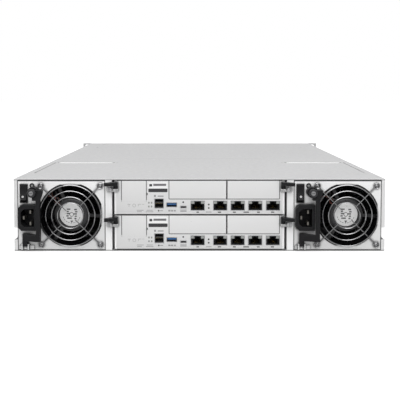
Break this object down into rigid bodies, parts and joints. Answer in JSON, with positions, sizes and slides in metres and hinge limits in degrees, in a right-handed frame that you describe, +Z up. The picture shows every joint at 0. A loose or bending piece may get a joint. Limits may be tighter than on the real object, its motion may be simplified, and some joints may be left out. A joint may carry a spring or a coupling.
{
  "type": "storage array",
  "caption": "Two-unit rack storage array with latching drive carriers at the front, stacked controllers and fan-cooled power modules that slide out at the rear.",
  "frame": {"origin": "centre of the chassis's bottom face", "axes": "+X right as seen from the rear, +Y towards the drives, +Z up"},
  "size_m": [0.4826, 0.5299, 0.0886],
  "materials": {
    "sheet_steel": "fine textured galvanised sheet",
    "face_steel": "light satin sheet",
    "black_plastic": "matt moulded",
    "fan_plastic": "satin moulded",
    "wire_chrome": "bright plated wire",
    "bright_steel": "bright plated",
    "circuit_board": "solder mask",
    "carrier_plastic": "matt moulded",
    "latch_plastic": "satin moulded"
  },
  "bodies": {
    "chassis": {"chassis_tub": "sheet_steel", "top_cover": "sheet_steel", "bay_frame": "face_steel", "drive_cage": "sheet_steel", "midplane_board": "circuit_board", "rack_ears": "sheet_steel"},
    "controller_upper": {"controller_upper_tray": "face_steel", "controller_upper_board": "circuit_board", "controller_upper_covers": "face_steel"},
    "controller_upper_lever_left": {"controller_upper_lever_left": "black_plastic"},
    "controller_upper_screw_left": {"controller_upper_screw_left": "bright_steel"},
    "controller_upper_lever_right": {"controller_upper_lever_right": "black_plastic"},
    "controller_upper_screw_right": {"controller_upper_screw_right": "bright_steel"},
    "controller_lower": {"controller_lower_tray": "face_steel", "controller_lower_board": "circuit_board", "controller_lower_covers": "face_steel"},
    "controller_lower_lever_left": {"controller_lower_lever_left": "black_plastic"},
    "controller_lower_screw_left": {"controller_lower_screw_left": "bright_steel"},
    "controller_lower_lever_right": {"controller_lower_lever_right": "black_plastic"},
    "controller_lower_screw_right": {"controller_lower_screw_right": "bright_steel"},
    "power_left": {"power_left_case": "face_steel", "power_left_fan_frame": "fan_plastic", "power_left_fan_guard": "wire_chrome", "power_left_inlet": "black_plastic"},
    "power_left_fan_rotor": {"power_left_fan_rotor": "fan_plastic"},
    "power_left_switch": {"power_left_switch": "black_plastic"},
    "power_left_handle": {"power_left_handle": "black_plastic"},
    "power_left_thumbscrew": {"power_left_thumbscrew": "black_plastic"},
    "power_right": {"power_right_case": "face_steel", "power_right_fan_frame": "fan_plastic", "power_right_fan_guard": "wire_chrome", "power_right_inlet": "black_plastic"},
    "power_right_fan_rotor": {"power_right_fan_rotor": "fan_plastic"},
    "power_right_switch": {"power_right_switch": "black_plastic"},
    "power_right_handle": {"power_right_handle": "black_plastic"},
    "power_right_thumbscrew": {"power_right_thumbscrew": "black_plastic"},
    "drive_1_1": {"drive_1_1_carrier": "carrier_plastic"},
    "drive_1_1_latch": {"drive_1_1_latch": "latch_plastic"},
    "drive_1_2": {"drive_1_2_carrier": "carrier_plastic"},
    "drive_1_2_latch": {"drive_1_2_latch": "latch_plastic"},
    "drive_1_3": {"drive_1_3_carrier": "carrier_plastic"},
    "drive_1_3_latch": {"drive_1_3_latch": "latch_plastic"},
    "drive_2_1": {"drive_2_1_carrier": "carrier_plastic"},
    "drive_2_1_latch": {"drive_2_1_latch": "latch_plastic"},
    "drive_2_2": {"drive_2_2_carrier": "carrier_plastic"},
    "drive_2_2_latch": {"drive_2_2_latch": "latch_plastic"},
    "drive_2_3": {"drive_2_3_carrier": "carrier_plastic"},
    "drive_2_3_latch": {"drive_2_3_latch": "latch_plastic"},
    "drive_3_1": {"drive_3_1_carrier": "carrier_plastic"},
    "drive_3_1_latch": {"drive_3_1_latch": "latch_plastic"},
    "drive_3_2": {"drive_3_2_carrier": "carrier_plastic"},
    "drive_3_2_latch": {"drive_3_2_latch": "latch_plastic"},
    "drive_3_3": {"drive_3_3_carrier": "carrier_plastic"},
    "drive_3_3_latch": {"drive_3_3_latch": "latch_plastic"},
    "drive_4_1": {"drive_4_1_carrier": "carrier_plastic"},
    "drive_4_1_latch": {"drive_4_1_latch": "latch_plastic"},
    "drive_4_2": {"drive_4_2_carrier": "carrier_plastic"},
    "drive_4_2_latch": {"drive_4_2_latch": "latch_plastic"},
    "drive_4_3": {"drive_4_3_carrier": "carrier_plastic"},
    "drive_4_3_latch": {"drive_4_3_latch": "latch_plastic"}
  },
  "joints": [
    {"name": "controller_upper_slide", "type": "slide", "parent": "chassis", "child": "controller_upper", "axis": [0, -1, 0], "range_m": [0, 0.28]},
    {"name": "controller_upper_lever_left_swing", "type": "hinge", "parent": "controller_upper", "child": "controller_upper_lever_left", "pos_m": [-0.1009, -0.2534, 0.0811], "axis": [0, 0, 1], "range_deg": [0, 60]},
    {"name": "controller_upper_screw_left_turn", "type": "hinge", "parent": "controller_upper", "child": "controller_upper_screw_left", "pos_m": [-0.1081, -0.255, 0.0766], "axis": [0, 1, 0], "continuous": true},
    {"name": "controller_upper_lever_right_swing", "type": "hinge", "parent": "controller_upper", "child": "controller_upper_lever_right", "pos_m": [0.1009, -0.2534, 0.0811], "axis": [0, 0, -1], "range_deg": [0, 60]},
    {"name": "controller_upper_screw_right_turn", "type": "hinge", "parent": "controller_upper", "child": "controller_upper_screw_right", "pos_m": [0.1081, -0.255, 0.0766], "axis": [0, 1, 0], "continuous": true},
    {"name": "controller_lower_slide", "type": "slide", "parent": "chassis", "child": "controller_lower", "axis": [0, -1, 0], "range_m": [0, 0.28]},
    {"name": "controller_lower_lever_left_swing", "type": "hinge", "parent": "controller_lower", "child": "controller_lower_lever_left", "pos_m": [-0.1009, -0.2534, 0.0386], "axis": [0, 0, 1], "range_deg": [0, 60]},
    {"name": "controller_lower_screw_left_turn", "type": "hinge", "parent": "controller_lower", "child": "controller_lower_screw_left", "pos_m": [-0.1081, -0.255, 0.0341], "axis": [0, 1, 0], "continuous": true},
    {"name": "controller_lower_lever_right_swing", "type": "hinge", "parent": "controller_lower", "child": "controller_lower_lever_right", "pos_m": [0.1009, -0.2534, 0.0386], "axis": [0, 0, -1], "range_deg": [0, 60]},
    {"name": "controller_lower_screw_right_turn", "type": "hinge", "parent": "controller_lower", "child": "controller_lower_screw_right", "pos_m": [0.1081, -0.255, 0.0341], "axis": [0, 1, 0], "continuous": true},
    {"name": "power_left_slide", "type": "slide", "parent": "chassis", "child": "power_left", "axis": [0, -1, 0], "range_m": [0, 0.28]},
    {"name": "power_left_fan_spin", "type": "hinge", "parent": "power_left", "child": "power_left_fan_rotor", "pos_m": [-0.1559, -0.23, 0.044], "axis": [0, 1, 0], "continuous": true},
    {"name": "power_left_handle_swing", "type": "hinge", "parent": "power_left", "child": "power_left_handle", "pos_m": [-0.2106, -0.2526, 0.0086], "axis": [1, 0, 0], "range_deg": [0, 75]},
    {"name": "power_left_switch_rock", "type": "hinge", "parent": "power_left", "child": "power_left_switch", "pos_m": [-0.2123, -0.2474, 0.07061], "axis": [1, 0, 0], "range_deg": [0, 24]},
    {"name": "power_left_thumbscrew_turn", "type": "hinge", "parent": "power_left_handle", "child": "power_left_thumbscrew", "pos_m": [-0.1993, -0.262, 0.0731], "axis": [0, 1, 0], "continuous": true},
    {"name": "power_right_slide", "type": "slide", "parent": "chassis", "child": "power_right", "axis": [0, -1, 0], "range_m": [0, 0.28]},
    {"name": "power_right_fan_spin", "type": "hinge", "parent": "power_right", "child": "power_right_fan_rotor", "pos_m": [0.1783, -0.23, 0.044], "axis": [0, 1, 0], "continuous": true},
    {"name": "power_right_handle_swing", "type": "hinge", "parent": "power_right", "child": "power_right_handle", "pos_m": [0.1236, -0.2526, 0.0086], "axis": [1, 0, 0], "range_deg": [0, 75]},
    {"name": "power_right_switch_rock", "type": "hinge", "parent": "power_right", "child": "power_right_switch", "pos_m": [0.1219, -0.2474, 0.07061], "axis": [1, 0, 0], "range_deg": [0, 24]},
    {"name": "power_right_thumbscrew_turn", "type": "hinge", "parent": "power_right_handle", "child": "power_right_thumbscrew", "pos_m": [0.1349, -0.262, 0.0731], "axis": [0, 1, 0], "continuous": true},
    {"name": "tray_1_1_slide", "type": "slide", "parent": "chassis", "child": "drive_1_1", "axis": [0, 1, 0], "range_m": [0, 0.15]},
    {"name": "tray_1_1_latch_swing", "type": "hinge", "parent": "drive_1_1", "child": "drive_1_1_latch", "pos_m": [-0.2128, 0.2589, 0.0156], "axis": [0, 0, 1], "range_deg": [0, 60]},
    {"name": "tray_1_2_slide", "type": "slide", "parent": "chassis", "child": "drive_1_2", "axis": [0, 1, 0], "range_m": [0, 0.15]},
    {"name": "tray_1_2_latch_swing", "type": "hinge", "parent": "drive_1_2", "child": "drive_1_2_latch", "pos_m": [-0.2128, 0.2589, 0.0438], "axis": [0, 0, 1], "range_deg": [0, 60]},
    {"name": "tray_1_3_slide", "type": "slide", "parent": "chassis", "child": "drive_1_3", "axis": [0, 1, 0], "range_m": [0, 0.15]},
    {"name": "tray_1_3_latch_swing", "type": "hinge", "parent": "drive_1_3", "child": "drive_1_3_latch", "pos_m": [-0.2128, 0.2589, 0.072], "axis": [0, 0, 1], "range_deg": [0, 60]},
    {"name": "tray_2_1_slide", "type": "slide", "parent": "chassis", "child": "drive_2_1", "axis": [0, 1, 0], "range_m": [0, 0.15]},
    {"name": "tray_2_1_latch_swing", "type": "hinge", "parent": "drive_2_1", "child": "drive_2_1_latch", "pos_m": [-0.1033, 0.2589, 0.0156], "axis": [0, 0, 1], "range_deg": [0, 60]},
    {"name": "tray_2_2_slide", "type": "slide", "parent": "chassis", "child": "drive_2_2", "axis": [0, 1, 0], "range_m": [0, 0.15]},
    {"name": "tray_2_2_latch_swing", "type": "hinge", "parent": "drive_2_2", "child": "drive_2_2_latch", "pos_m": [-0.1033, 0.2589, 0.0438], "axis": [0, 0, 1], "range_deg": [0, 60]},
    {"name": "tray_2_3_slide", "type": "slide", "parent": "chassis", "child": "drive_2_3", "axis": [0, 1, 0], "range_m": [0, 0.15]},
    {"name": "tray_2_3_latch_swing", "type": "hinge", "parent": "drive_2_3", "child": "drive_2_3_latch", "pos_m": [-0.1033, 0.2589, 0.072], "axis": [0, 0, 1], "range_deg": [0, 60]},
    {"name": "tray_3_1_slide", "type": "slide", "parent": "chassis", "child": "drive_3_1", "axis": [0, 1, 0], "range_m": [0, 0.15]},
    {"name": "tray_3_1_latch_swing", "type": "hinge", "parent": "drive_3_1", "child": "drive_3_1_latch", "pos_m": [0.0062, 0.2589, 0.0156], "axis": [0, 0, 1], "range_deg": [0, 60]},
    {"name": "tray_3_2_slide", "type": "slide", "parent": "chassis", "child": "drive_3_2", "axis": [0, 1, 0], "range_m": [0, 0.15]},
    {"name": "tray_3_2_latch_swing", "type": "hinge", "parent": "drive_3_2", "child": "drive_3_2_latch", "pos_m": [0.0062, 0.2589, 0.0438], "axis": [0, 0, 1], "range_deg": [0, 60]},
    {"name": "tray_3_3_slide", "type": "slide", "parent": "chassis", "child": "drive_3_3", "axis": [0, 1, 0], "range_m": [0, 0.15]},
    {"name": "tray_3_3_latch_swing", "type": "hinge", "parent": "drive_3_3", "child": "drive_3_3_latch", "pos_m": [0.0062, 0.2589, 0.072], "axis": [0, 0, 1], "range_deg": [0, 60]},
    {"name": "tray_4_1_slide", "type": "slide", "parent": "chassis", "child": "drive_4_1", "axis": [0, 1, 0], "range_m": [0, 0.15]},
    {"name": "tray_4_1_latch_swing", "type": "hinge", "parent": "drive_4_1", "child": "drive_4_1_latch", "pos_m": [0.1157, 0.2589, 0.0156], "axis": [0, 0, 1], "range_deg": [0, 60]},
    {"name": "tray_4_2_slide", "type": "slide", "parent": "chassis", "child": "drive_4_2", "axis": [0, 1, 0], "range_m": [0, 0.15]},
    {"name": "tray_4_2_latch_swing", "type": "hinge", "parent": "drive_4_2", "child": "drive_4_2_latch", "pos_m": [0.1157, 0.2589, 0.0438], "axis": [0, 0, 1], "range_deg": [0, 60]},
    {"name": "tray_4_3_slide", "type": "slide", "parent": "chassis", "child": "drive_4_3", "axis": [0, 1, 0], "range_m": [0, 0.15]},
    {"name": "tray_4_3_latch_swing", "type": "hinge", "parent": "drive_4_3", "child": "drive_4_3_latch", "pos_m": [0.1157, 0.2589, 0.072], "axis": [0, 0, 1], "range_deg": [0, 60]}
  ]
}
